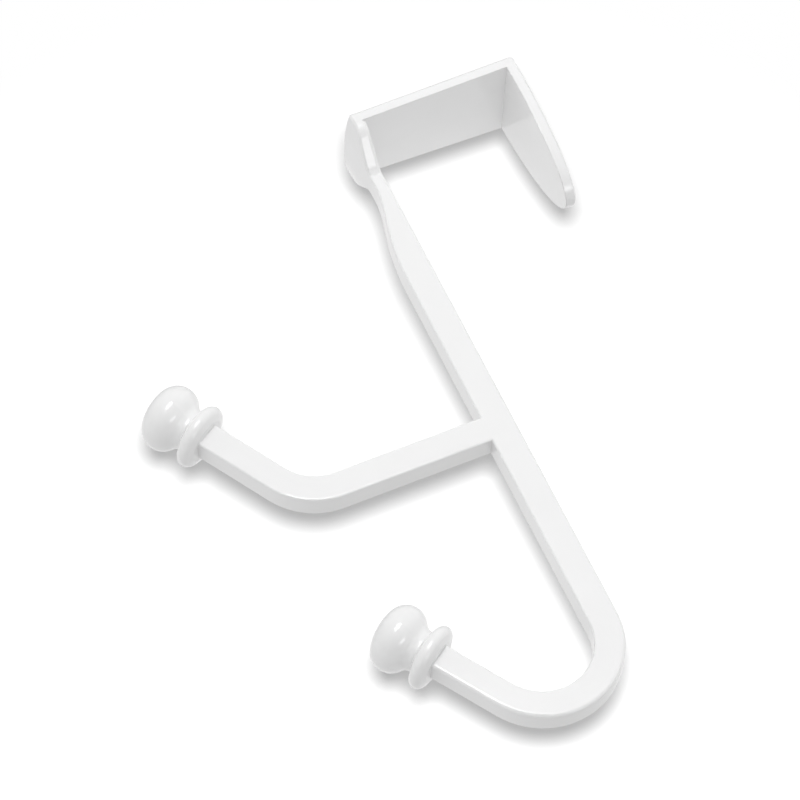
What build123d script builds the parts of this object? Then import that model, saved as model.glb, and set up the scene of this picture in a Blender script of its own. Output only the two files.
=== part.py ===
from build123d import *
from math import atan2, cos, radians, sin, sqrt, tan
import os

# A double closet hook that hangs over the top of a door: one metal casting with a saddle, a stem,
# two upswept arms and a knob on the end of each arm.
# Millimetres and degrees. The origin is the middle of the seat, the underside of the saddle's web
# that rests on the door's top edge. +Z is up, the arms point to -Y, and the hook is symmetric about X = 0.

# Saddle
door_gap = 36.5
strip = 2.6
web_width_front = 22.5
web_width_back = 24.6
web_corner_round = 0.9
tab_length = 33.8
tab_splay = 0.7
web_edge_break = 0.4

# Front plate and its neck
plate_top_thickness = 4.2
plate_crown_drop = 1.1
neck_thickness = 3.1
shoulder_drop = 2.1
neck_drop = 10.2
shoulder_round = 5.0
neck_round = 5.0
plate_edge_break = 0.4
plate_back_break = 0.8

# Stem and arms, a bar of nearly square section
bar_width = 6.2
stem_depth = 6.9
door_side_round = 0.8
front_side_round = 0.45
swell_start_drop = 16.0
swell_end_drop = 31.0
swell_start_round = 30.0
swell_end_round = 70.0

# Upper arm
arm_depth = 6.35
arm_underside_drop = 86.65
arm_reach = 36.0
arm_bend_radius = 11.0
arm_run_angle = 58.6
arm_run_length = 19.35

# Lower hook
hook_depth = 6.15
hook_floor_drop = 148.7
hook_inner_radius = 11.75
hook_run_angle = 56.5
hook_run_length = 16.65

# Knobs
knob_seat = 1.4
collar_back_radius = 5.2
collar_radius = 7.65
collar_round = 1.6
collar_round_angle = 60.0
collar_middle = 2.0
collar_thickness = 4.2
neck_radius = 4.9
neck_length = 0.3
neck_round_to_ball = 2.5
ball_radius = 7.95
ball_round = 4.4
ball_thickness = 10.2

# Fit for telling edges apart by where they lie
tolerance = 0.01

# Places that follow from the sizes above
door_face = -door_gap / 2
tab_face = door_gap / 2
stem_front = door_face - stem_depth
half_bar = bar_width / 2
half_neck = half_bar - plate_edge_break
hook_outer_radius = hook_inner_radius + (stem_depth + hook_depth) / 2
half_front = web_width_front / 2
half_back = web_width_back / 2
neck_turn = atan2(half_front - half_neck, neck_drop - shoulder_drop)
plate_end_drop = neck_drop + neck_round * tan(neck_turn / 2) + plate_edge_break


def side_sketch(corners, rounds):
    """Closed outline in the side view, from (y, z) corners and one rounding for each."""
    with BuildSketch(Plane.YZ) as sketch:
        with BuildLine():
            FilletPolyline(*corners, radius=rounds, close=True)
        make_face()
    return sketch.sketch


def across(sketch, width):
    """Solid as wide as given, centred on X = 0, with this side-view outline."""
    return extrude(sketch, amount=width / 2, both=True)


def saddle():
    """Web and back tab, as wide as the web and narrowing to the tab's rounded tip."""
    lean = tab_length * tan(radians(tab_splay))
    corners = [
        (door_face - strip, 0),
        (tab_face, 0),
        (tab_face + lean, -tab_length),
        (tab_face + lean + strip, -tab_length),
        (tab_face + strip, strip),
        (door_face - strip, strip),
    ]
    rounds = [0, 0, 0, 0, web_corner_round, 0]
    band = across(side_sketch(corners, rounds), web_width_back)
    with BuildSketch() as plan:
        with BuildLine():
            Polyline(
                (half_front, door_face - strip),
                (half_front, door_face),
                (half_back, tab_face),
                (half_back, tab_face + 2 * strip),
                (-half_back, tab_face + 2 * strip),
                (-half_back, tab_face),
                (-half_front, door_face),
                (-half_front, door_face - strip),
                close=True,
            )
        make_face()
    with BuildSketch(Plane.XZ) as front:
        Ellipse(half_back, tab_length)
        Rectangle(web_width_back, strip, align=(Align.CENTER, Align.MIN))
        with Locations((0, strip)):
            Rectangle(web_width_back, tab_length, align=(Align.CENTER, Align.MIN), mode=Mode.SUBTRACT)
    outline = extrude(front.sketch, amount=door_gap, both=True)
    body = band & extrude(plan.sketch, amount=2 * tab_length, both=True) & outline
    return break_edges(body, web_edge_break, on_saddle_rim)


def on_saddle_rim(edge):
    """True for the edges round the outer face of the web and tab."""
    middle = edge @ 0.5
    on_web = abs(middle.Z - strip) < tolerance and abs(middle.X) > tolerance
    on_tab = middle.Y > tab_face + strip + tolerance and middle.Z < -strip
    on_corner = abs(abs(middle.X) - half_back) < tolerance and middle.Y > tab_face + strip / 2 + tolerance
    return on_web or on_tab or on_corner


def plate():
    """Front plate: a shield whose crowned face leans back from the top to the neck."""
    top_front = door_face - plate_top_thickness
    wing_front = top_front + plate_crown_drop
    height = strip + plate_end_drop
    lean = plate_top_thickness - neck_thickness
    with BuildSketch(Plane.XY.offset(strip)) as section:
        with BuildLine():
            wing = Line((half_bar, top_front), (-half_bar, top_front))
            left = TangentArc(wing @ 1, (-half_front, wing_front), tangent=(-1, 0))
            Polyline(
                left @ 1,
                (-half_front, door_face + lean),
                (half_front, door_face + lean),
                (half_front, wing_front),
            )
            TangentArc(wing @ 0, (half_front, wing_front), tangent=(1, 0))
        make_face()
    slant = Vector(0, lean, -height)
    body = extrude(section.sketch, amount=slant.length, dir=slant.normalized())
    corners = [
        (half_front, strip),
        (half_front, -shoulder_drop),
        (half_neck, -neck_drop),
        (half_neck, -plate_end_drop),
        (-half_neck, -plate_end_drop),
        (-half_neck, -neck_drop),
        (-half_front, -shoulder_drop),
        (-half_front, strip),
    ]
    rounds = [0, shoulder_round, neck_round, 0, 0, neck_round, shoulder_round, 0]
    with BuildSketch(Plane.XZ.offset(-door_face)) as front:
        with BuildLine():
            FilletPolyline(*corners, radius=rounds, close=True)
        make_face()
    shield = body & extrude(front.sketch, amount=2 * plate_top_thickness)
    shield = break_edges(shield, plate_back_break, on_plate_back)
    return break_edges(shield, plate_edge_break, on_plate_front)


def on_plate_back(edge):
    """True for the edges of the plate's outline on the door's side."""
    middle = edge @ 0.5
    return abs(middle.Y - door_face) < tolerance and abs(middle.X) > tolerance and middle.Z < strip - tolerance


def on_plate_front(edge):
    """True for the edges of the plate's outline and top on the room's side."""
    middle = edge @ 0.5
    on_top = abs(middle.Z - strip) < tolerance
    on_outline = abs(middle.X) > half_neck + tolerance and abs(edge.tangent_at(0.5).Y) < 0.5
    return middle.Y < door_face - neck_thickness / 2 and (on_top or on_outline)


def round_edges(body, radius, chosen):
    """The body with a fillet along each edge for which chosen is true."""
    return body.fillet(radius, [edge for edge in body.edges() if chosen(edge)])


def break_edges(body, length, chosen):
    """The body with a flat of this length either side of each edge for which chosen is true."""
    return body.chamfer(length, length, [edge for edge in body.edges() if chosen(edge)])


def run(centre, radius, angle, depth, length):
    """Straight run that leaves a bend about centre: its inner and outer ends, and its two directions."""
    along = Vector(-cos(radians(angle)), sin(radians(angle)))
    outward = Vector(-sin(radians(angle)), -cos(radians(angle)))
    inner_end = centre + outward * radius + along * length
    outer_end = inner_end + outward * depth
    return inner_end, outer_end, along


def at_y(point, along, y):
    """Point at y on the line through point."""
    return point + along * ((y - point.X) / along.X)


def at_z(point, along, z):
    """Point at z on the line through point."""
    return point + along * ((z - point.Y) / along.Y)


arm_bend = Vector(stem_front - arm_reach, -arm_underside_drop + arm_depth + arm_bend_radius)
hook_bend = Vector(stem_front - hook_inner_radius, -hook_floor_drop + hook_inner_radius)
arm_run = run(arm_bend, arm_bend_radius, arm_run_angle, arm_depth, arm_run_length + knob_seat)
hook_run = run(hook_bend, hook_inner_radius, hook_run_angle, hook_depth, hook_run_length + knob_seat)


def bar():
    """Stem with the upper arm and the lower hook, in one side-view outline."""
    arm_in, arm_out, arm_along = arm_run
    hook_in, hook_out, hook_along = hook_run
    arm_top = -arm_underside_drop + arm_depth
    neck_front = door_face - neck_thickness
    plate_slope = (plate_top_thickness - neck_thickness) / (strip + plate_end_drop)
    seat_front = neck_front - plate_slope * plate_end_drop
    corners = [
        (door_face, 0),
        (seat_front, 0),
        (neck_front + plate_slope * (swell_start_drop - plate_end_drop), -swell_start_drop),
        (stem_front, -swell_end_drop),
        (stem_front, arm_top),
        at_z(arm_in, arm_along, arm_top),
        arm_in,
        arm_out,
        at_z(arm_out, arm_along, -arm_underside_drop),
        (stem_front, -arm_underside_drop),
        at_y(hook_in, hook_along, stem_front),
        hook_in,
        hook_out,
        at_y(hook_out, hook_along, door_face),
    ]
    rounds = [
        0,
        0,
        swell_start_round,
        swell_end_round,
        0,
        arm_bend_radius,
        0,
        0,
        arm_bend_radius + arm_depth,
        0,
        hook_inner_radius,
        0,
        0,
        hook_outer_radius,
    ]
    body = across(side_sketch([Vector(*corner) for corner in corners], rounds), bar_width)
    body = round_edges(body, front_side_round, on_front_side)
    return round_edges(body, door_side_round, on_door_side)


def is_long(edge):
    """True for the edges along the bar's two sides, but not those across its three ends."""
    middle = edge @ 0.5
    ends = [Vector(0, door_face, 0)]
    for inner_end, outer_end, along in (arm_run, hook_run):
        centre = (inner_end + outer_end) / 2
        ends.append(Vector(0, centre.X, centre.Y))
    on_side = abs(abs(middle.X) - half_bar) < tolerance and middle.Z < -tolerance
    return on_side and all((middle - end).length > half_bar + tolerance for end in ends)


def on_door_side(edge):
    """True along the door's face, round the outside of the lower hook and on to its end."""
    middle = edge @ 0.5
    if not is_long(edge):
        return False
    if edge.geom_type == GeomType.CIRCLE:
        return abs(edge.radius - hook_outer_radius) < tolerance
    outer_end = Vector(middle.X, hook_run[1].X, hook_run[1].Y)
    return abs(middle.Y - door_face) < tolerance or edge.distance_to(outer_end) < tolerance


def on_front_side(edge):
    """True for the long edges that are not on the door's side."""
    return is_long(edge) and not on_door_side(edge)


def knob():
    """Collar, neck and flattened ball, turned about the local Z axis from the collar's back at Z = 0."""
    bead = Vector(collar_radius - collar_round, collar_middle)
    bead_side = Vector(collar_round * cos(radians(collar_round_angle)), 0)
    bead_rise = Vector(0, collar_round * sin(radians(collar_round_angle)))
    bead_start = bead + bead_side - bead_rise
    bead_end = bead + bead_side + bead_rise
    half_ball = ball_thickness / 2
    side_x = ball_radius - ball_round
    cove = Vector(neck_radius + neck_round_to_ball, collar_thickness + neck_length)
    cove_rise = sqrt((ball_round + neck_round_to_ball) ** 2 - (cove.X - side_x) ** 2)
    side = Vector(side_x, cove.Y + cove_rise)
    nose_radius = (side_x**2 + half_ball**2 - ball_round**2) / (2 * (half_ball - ball_round))
    nose = Vector(0, side.Y + half_ball - nose_radius)
    cheek = side + (cove - side).normalized() * ball_round
    brow = nose + (side - nose).normalized() * nose_radius
    pole = (0, side.Y + half_ball)
    with BuildSketch(Plane.XZ) as half:
        with BuildLine():
            Polyline((0, 0), (collar_back_radius, 0), bead_start)
            ThreePointArc(bead_start, (collar_radius, collar_middle), bead_end)
            Polyline(bead_end, (neck_radius, collar_thickness), (neck_radius, cove.Y))
            TangentArc((neck_radius, cove.Y), cheek, tangent=(0, 1))
            ThreePointArc(cheek, (ball_radius, side.Y), brow)
            TangentArc(pole, brow, tangent=(1, 0))
            Line(pole, (0, 0))
        make_face()
    return revolve(half.sketch, Axis.Z)


def knob_at(run_ends):
    """The knob on the end of a run, its collar's back face knob_seat before the bar's end."""
    inner_end, outer_end, along = run_ends
    middle = (inner_end + outer_end) / 2 - along * knob_seat
    seat = Plane(
        origin=(0, middle.X, middle.Y),
        x_dir=(1, 0, 0),
        z_dir=(0, along.X, along.Y),
    )
    return seat * knob()


hook = saddle() + plate() + bar() + knob_at(arm_run) + knob_at(hook_run)
hook = hook.clean()

os.makedirs("parts", exist_ok=True)
export_step(hook, "parts/hook.step")
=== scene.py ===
import bpy
from mathutils import Matrix, Vector

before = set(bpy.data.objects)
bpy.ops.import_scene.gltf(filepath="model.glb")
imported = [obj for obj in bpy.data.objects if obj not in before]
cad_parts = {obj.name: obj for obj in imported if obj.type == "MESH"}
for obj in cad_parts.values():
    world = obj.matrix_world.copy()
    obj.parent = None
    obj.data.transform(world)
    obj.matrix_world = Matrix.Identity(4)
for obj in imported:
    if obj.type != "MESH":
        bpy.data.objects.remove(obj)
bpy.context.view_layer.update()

# Camera, in the row frame: where it stands, and where the picture's right side and bottom point.
CAMERA_PLACE = Vector((0.678561, -0.221982, -0.434872))
PICTURE_RIGHT = Vector((0.02533, 0.912846, -0.407518)).normalized()
PICTURE_DOWN = Vector((-0.517028, -0.336931, -0.786867)).normalized()
PICTURE_SIZE = 800
FOCAL_PIXELS = 3500.0
SENSOR_WIDTH = 36.0
CLIP_START = 0.05

# Paint: tones and roughness from lowest to highest, and the radius of the softened edges.
PAINT_TONES = (0.845, 0.88)
PAINT_ROUGHNESS = (0.14, 0.2)
PAINT_IOR = 1.5
EDGE_RADIUS = 0.0004
EDGE_SAMPLES = 6

# Scale of each pattern in the paint, and the strength and depth of those that are relief.
SHADE_SCALE = 90.0
WAVE_SCALE, WAVE_STRENGTH, WAVE_DEPTH = 130.0, 0.25, 0.0002
PEEL_SCALE, PEEL_STRENGTH, PEEL_DEPTH = 1400.0, 0.12, 0.00004
PIT_SCALE, PIT_STRENGTH, PIT_DEPTH = 320.0, 0.1, 0.00004

# White board behind the hook, which takes its soft shadow. A faint glow lifts the shadow's darkest
# part.
BOARD_MIDDLE = Vector((-0.055, -0.03, -0.05))
BOARD_HALF_SIZE = 0.2
BOARD_COLOUR = 0.7
BOARD_GLOW = 0.03

# Distances from the board's middle between which it changes from shadowed to plain white, and
# values of Layer Weight's Facing between which it disappears as it turns edge-on.
SHADOW_FADE = (0.12, 0.15)
EDGE_ON_FADE = (0.45, 0.75)

# Even light of the studio, how bright the room is where the paint mirrors it, and how far up the
# picture a mirrored ray has to lean to meet the room in full.
WORLD_LIGHT = 0.63
ROOM_GLEAM = 0.3
ROOM_LEAN = 0.35

# Points that the lamps face: the hook's middle and the middle of the saddle's seat.
HOOK_MIDDLE = Vector((0, -0.03, -0.07))
SEAT_MIDDLE = Vector((0, 0, 0))

# Lamps: where the small ones stand, how far away the others are, and how wide they are.
BOARD_LAMP_RISE = 0.05
BOARD_LAMP_SIZE = 0.086
SADDLE_LAMP_PLACE = Vector((-0.045, 0, -0.024))
SADDLE_LAMP_SIZE = 0.03
SOFT_LAMP_DISTANCE = 1.0
SOFT_LAMP_SIZE = 0.8
SHINE_DISTANCE = 0.8


def make_camera():
    """Camera of the photo, fitted to it as a pinhole."""
    data = bpy.data.cameras.new("camera")
    data.sensor_width = SENSOR_WIDTH
    data.lens = FOCAL_PIXELS * SENSOR_WIDTH / PICTURE_SIZE
    data.clip_start = CLIP_START
    camera = bpy.data.objects.new("camera", data)
    up = -PICTURE_DOWN
    back = PICTURE_RIGHT.cross(up)
    turn = Matrix((PICTURE_RIGHT, up, back)).transposed().to_4x4()
    camera.matrix_world = Matrix.Translation(CAMERA_PLACE) @ turn
    bpy.context.scene.collection.objects.link(camera)
    bpy.context.scene.camera = camera


def connect(tree, value, socket):
    """Links an output socket to this input, or sets the input to a plain value."""
    if isinstance(value, bpy.types.NodeSocket):
        tree.links.new(value, socket)
    else:
        socket.default_value = value


def node(tree, kind, **inputs):
    """A new shader node, with its input sockets set or linked by name."""
    made = tree.nodes.new(kind)
    for name, value in inputs.items():
        connect(tree, value, made.inputs[name.replace("_", " ")])
    return made


def calculate(tree, kind, operation, first, second):
    """Node for one operation on two values or two vectors."""
    made = tree.nodes.new(kind)
    made.operation = operation
    connect(tree, first, made.inputs[0])
    connect(tree, second, made.inputs[1])
    return made


def arithmetic(tree, operation, first, second):
    """Result of one operation on two values."""
    return calculate(tree, "ShaderNodeMath", operation, first, second).outputs[0]


def measure(tree, operation, coordinates, vector):
    """Value that relates the texture coordinates of this name to a fixed vector."""
    place = tree.nodes.new("ShaderNodeTexCoord").outputs[coordinates]
    return calculate(tree, "ShaderNodeVectorMath", operation, place, vector).outputs["Value"]


def spread(tree, value, low, high, start=0.0, end=1.0):
    """From low to high as the value goes from start to end, and held there beyond."""
    made = node(tree, "ShaderNodeMapRange", Value=value, From_Min=start, From_Max=end)
    made.inputs["To Min"].default_value = low
    made.inputs["To Max"].default_value = high
    return made.outputs["Result"]


def mix(tree, factor, first, second):
    """Mix of two shaders, the second alone at a factor of 1."""
    made = tree.nodes.new("ShaderNodeMixShader")
    connect(tree, factor, made.inputs[0])
    tree.links.new(first.outputs[0], made.inputs[1])
    tree.links.new(second.outputs[0], made.inputs[2])
    return made


def relief(tree, height, strength, depth, normal):
    """Normal that follows a pattern of heights on top of another normal."""
    made = node(tree, "ShaderNodeBump", Strength=strength, Distance=depth, Height=height,
                Normal=normal)
    return made.outputs["Normal"]


def new_material(name):
    """New material without nodes, and its node tree."""
    material = bpy.data.materials.new(name)
    material.use_nodes = True
    material.node_tree.nodes.clear()
    return material, material.node_tree


def show(tree, kind, shader):
    """Ends a material's or the world's nodes with this shader."""
    out = tree.nodes.new(kind)
    tree.links.new(shader.outputs[0], out.inputs["Surface"])


def paint():
    """White semi-gloss paint on a die casting, with soft edges, a faint orange peel and pits."""
    material, tree = new_material("white_paint")
    place = tree.nodes.new("ShaderNodeTexCoord").outputs["Object"]
    shade = node(tree, "ShaderNodeTexNoise", Vector=place, Scale=SHADE_SCALE, Detail=3.0,
                 Roughness=0.5)
    ramp = tree.nodes.new("ShaderNodeValToRGB")
    for stop, tone in zip(ramp.color_ramp.elements, PAINT_TONES):
        stop.color = (tone, tone, tone, 1)
    tree.links.new(shade.outputs["Fac"], ramp.inputs["Fac"])
    peel = node(tree, "ShaderNodeTexNoise", Vector=place, Scale=PEEL_SCALE, Detail=2.0,
                Roughness=0.45)
    waves = node(tree, "ShaderNodeTexNoise", Vector=place, Scale=WAVE_SCALE, Detail=1.0)
    pits = node(tree, "ShaderNodeTexVoronoi", Vector=place, Scale=PIT_SCALE)
    pit_height = spread(tree, pits.outputs["Distance"], 0.0, 1.0)
    soft_edge = node(tree, "ShaderNodeBevel", Radius=EDGE_RADIUS)
    soft_edge.samples = EDGE_SAMPLES
    normal = soft_edge.outputs["Normal"]
    normal = relief(tree, waves.outputs["Fac"], WAVE_STRENGTH, WAVE_DEPTH, normal)
    normal = relief(tree, peel.outputs["Fac"], PEEL_STRENGTH, PEEL_DEPTH, normal)
    normal = relief(tree, pit_height, PIT_STRENGTH, PIT_DEPTH, normal)
    shader = node(tree, "ShaderNodeBsdfPrincipled", Base_Color=ramp.outputs["Color"],
                  Roughness=spread(tree, waves.outputs["Fac"], *PAINT_ROUGHNESS), IOR=PAINT_IOR,
                  Normal=normal)
    show(tree, "ShaderNodeOutputMaterial", shader)
    return material


def dress(thing, material):
    """Gives a CAD node its material."""
    thing.data.materials.clear()
    thing.data.materials.append(material)


def board_seen(tree):
    """1 where the camera sees the board's front, 0 from behind or on edge."""
    ray = tree.nodes.new("ShaderNodeLightPath")
    side = tree.nodes.new("ShaderNodeNewGeometry")
    front = arithmetic(tree, "SUBTRACT", 1.0, side.outputs["Backfacing"])
    turned = node(tree, "ShaderNodeLayerWeight", Blend=0.5)
    face_on = spread(tree, turned.outputs["Facing"], 1.0, 0.0, *EDGE_ON_FADE)
    to_camera = arithmetic(tree, "MULTIPLY", front, ray.outputs["Is Camera Ray"])
    return arithmetic(tree, "MULTIPLY", to_camera, face_on)


def board_shadow(tree):
    """1 near the board's middle, where the shadow falls, and 0 further out."""
    away = measure(tree, "DISTANCE", "Object", BOARD_MIDDLE)
    return spread(tree, away, 1.0, 0.0, *SHADOW_FADE)


def board_material():
    """White board that takes the hook's shadow near its middle and is plain white further out."""
    material, tree = new_material("white_board")
    matt = node(tree, "ShaderNodeBsdfDiffuse", Color=(BOARD_COLOUR, BOARD_COLOUR, BOARD_COLOUR, 1))
    glow = node(tree, "ShaderNodeEmission", Color=(1, 1, 1, 1), Strength=BOARD_GLOW)
    lit = tree.nodes.new("ShaderNodeAddShader")
    tree.links.new(matt.outputs["BSDF"], lit.inputs[0])
    tree.links.new(glow.outputs["Emission"], lit.inputs[1])
    plain = node(tree, "ShaderNodeEmission", Color=(1, 1, 1, 1), Strength=1.0)
    face = mix(tree, board_shadow(tree), plain, lit)
    clear = tree.nodes.new("ShaderNodeBsdfTransparent")
    show(tree, "ShaderNodeOutputMaterial", mix(tree, board_seen(tree), clear, face))
    return material


def make_board():
    """Flat board across X, its front towards +X."""
    corners = []
    for y, z in ((-1, -1), (1, -1), (1, 1), (-1, 1)):
        corners.append(BOARD_MIDDLE + Vector((0, y, z)) * BOARD_HALF_SIZE)
    mesh = bpy.data.meshes.new("white_board")
    mesh.from_pydata(corners, [], [(0, 1, 2, 3)])
    board = bpy.data.objects.new("white_board", mesh)
    bpy.context.scene.collection.objects.link(board)
    mesh.materials.append(board_material())
    return board


def background(tree, strength):
    """White light of the world at this strength."""
    return node(tree, "ShaderNodeBackground", Color=(1, 1, 1, 1), Strength=strength)


def along(tree, direction):
    """How far the world's ray points along this direction, from -1 to 1."""
    return measure(tree, "DOT_PRODUCT", "Generated", direction)


def make_world():
    """Even light from all around, which the camera sees as plain white.

    The paint mirrors plain white behind the hook and below it, and a dimmer room elsewhere.
    """
    world = bpy.data.worlds.new("studio")
    world.use_nodes = True
    tree = world.node_tree
    tree.nodes.clear()
    light = background(tree, WORLD_LIGHT)
    white = background(tree, 1.0)
    room = background(tree, ROOM_GLEAM)
    in_front = arithmetic(tree, "GREATER_THAN", along(tree, Vector((1, 0, 0))), 0.0)
    above = spread(tree, along(tree, -PICTURE_DOWN), 0.0, 1.0, 0.0, ROOM_LEAN)
    mirrored = mix(tree, arithmetic(tree, "MAXIMUM", in_front, above), white, room)
    ray = tree.nodes.new("ShaderNodeLightPath")
    gleam = mix(tree, ray.outputs["Is Glossy Ray"], light, mirrored)
    seen = arithmetic(tree, "MAXIMUM", ray.outputs["Is Camera Ray"],
                      ray.outputs["Is Transmission Ray"])
    show(tree, "ShaderNodeOutputWorld", mix(tree, seen, gleam, white))
    bpy.context.scene.world = world


def toward(direction, distance):
    """Place at this distance from the hook's middle."""
    return HOOK_MIDDLE + Vector(direction).normalized() * distance


def lamp(name, place, power, size, lit, target=HOOK_MIDDLE):
    """Round soft lamp that faces the target and lights only the given object."""
    data = bpy.data.lights.new(name, "AREA")
    data.shape = "DISK"
    data.energy = power
    data.size = size
    made = bpy.data.objects.new(name, data)
    made.location = place
    made.rotation_mode = "QUATERNION"
    made.rotation_quaternion = (target - place).to_track_quat("-Z", "Y")
    made.visible_camera = False
    made.visible_glossy = False
    receivers = bpy.data.collections.new(name + "_lights")
    receivers.objects.link(lit)
    made.light_linking.receiver_collection = receivers
    bpy.context.scene.collection.objects.link(made)
    return made


def soft_lamp(name, direction, power):
    """Large lamp for the hook, in this direction from its middle."""
    lamp(name, toward(direction, SOFT_LAMP_DISTANCE), power, SOFT_LAMP_SIZE, hook)


def shine(name, direction, lengthwise, power, length, width):
    """Oval lamp in this direction that only the hook's gloss shows, its length along lengthwise."""
    place = toward(direction, SHINE_DISTANCE)
    made = lamp(name, place, power, length, hook)
    made.data.shape = "ELLIPSE"
    made.data.size_y = width
    back = (place - HOOK_MIDDLE).normalized()
    across = back.cross(Vector(lengthwise)).normalized()
    turn = Matrix((across.cross(back), across, back)).transposed()
    made.rotation_quaternion = turn.to_quaternion()
    made.visible_glossy = True
    made.visible_diffuse = False


make_camera()
make_world()
board = make_board()
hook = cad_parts["hook"]
dress(hook, paint())

# The board's lamp stands a little above the camera, so that the shadow falls just below the hook.
lamp("board_lamp", CAMERA_PLACE - PICTURE_DOWN * BOARD_LAMP_RISE, power=7.9,
     size=BOARD_LAMP_SIZE, lit=board)

# Soft light on the hook from several sides.
soft_lamp("side_lamp", (1, 0.1, 0.1), power=3.1)
soft_lamp("upper_lamp", (0.7, 0.6, 0.4), power=2.5)
soft_lamp("front_lamp", (0.1, -1, 0.3), power=1.5)
soft_lamp("back_lamp", (-0.6, 0.6, 0.5), power=2.4)

# A small lamp stands for the light that a white surface throws back into the saddle.
lamp("saddle_lamp", SADDLE_LAMP_PLACE, power=0.0042, size=SADDLE_LAMP_SIZE, lit=hook,
     target=SEAT_MIDDLE)

# Lamps that only the gloss mirrors, for the knobs' highlights and the bright lower edges.
shine("side_shine", (0.98, -0.02, 0.11), (0, 0.93, 0.37), power=2.8, length=0.41, width=0.21)
shine("low_shine", (0.44, 0.26, -0.83), (0, 1, 0), power=1.0, length=0.4, width=0.2)

bpy.context.scene.view_settings.view_transform = "Standard"
